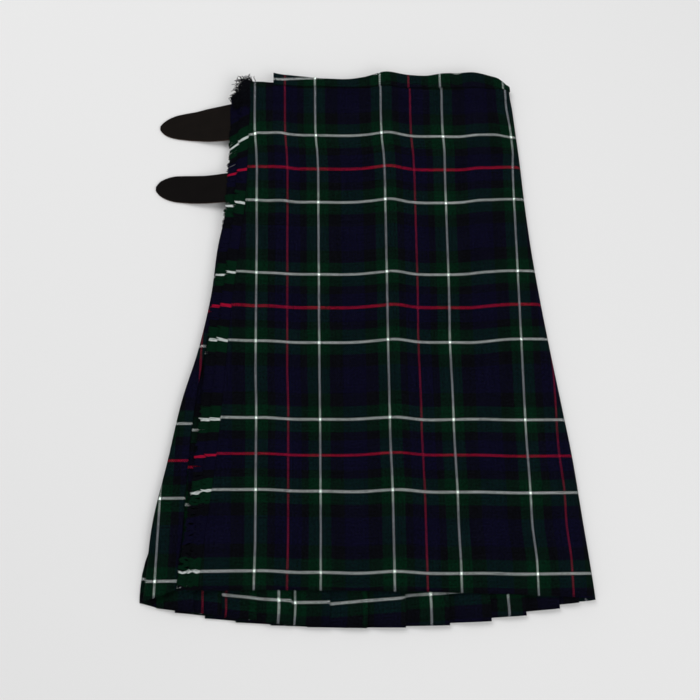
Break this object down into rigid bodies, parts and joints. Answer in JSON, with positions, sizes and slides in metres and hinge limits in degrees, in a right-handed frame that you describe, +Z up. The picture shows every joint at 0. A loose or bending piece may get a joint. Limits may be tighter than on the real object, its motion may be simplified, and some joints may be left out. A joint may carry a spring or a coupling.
{
  "type": "scottish kilt",
  "caption": "Pleated tartan kilt laid flat, fringed over apron on top, knife pleats beneath, leather straps at one side.",
  "frame": {"origin": "on the floor, under the middle of the lying garment", "axes": "+X across the garment away from the fringed side, +Y from hem to waist, +Z up from the floor out of the over apron"},
  "size_m": [0.4999, 0.655, 0.0204],
  "materials": {
    "tartan_cloth": "matte twilled wool in a navy, green and black check with white and red lines",
    "tartan_band": "matte twilled wool",
    "fringe_yarn": "matte woollen yarn",
    "strap_leather": "satin black leather with raw brown edges"
  },
  "bodies": {
    "root": {"over_apron": "tartan_cloth", "under_apron": "tartan_cloth", "pleated_back": "tartan_cloth", "waistband": "tartan_band", "fringe_upper": "fringe_yarn", "fringe_lower": "fringe_yarn", "strap_upper": "strap_leather", "strap_lower": "strap_leather"}
  },
  "joints": []
}
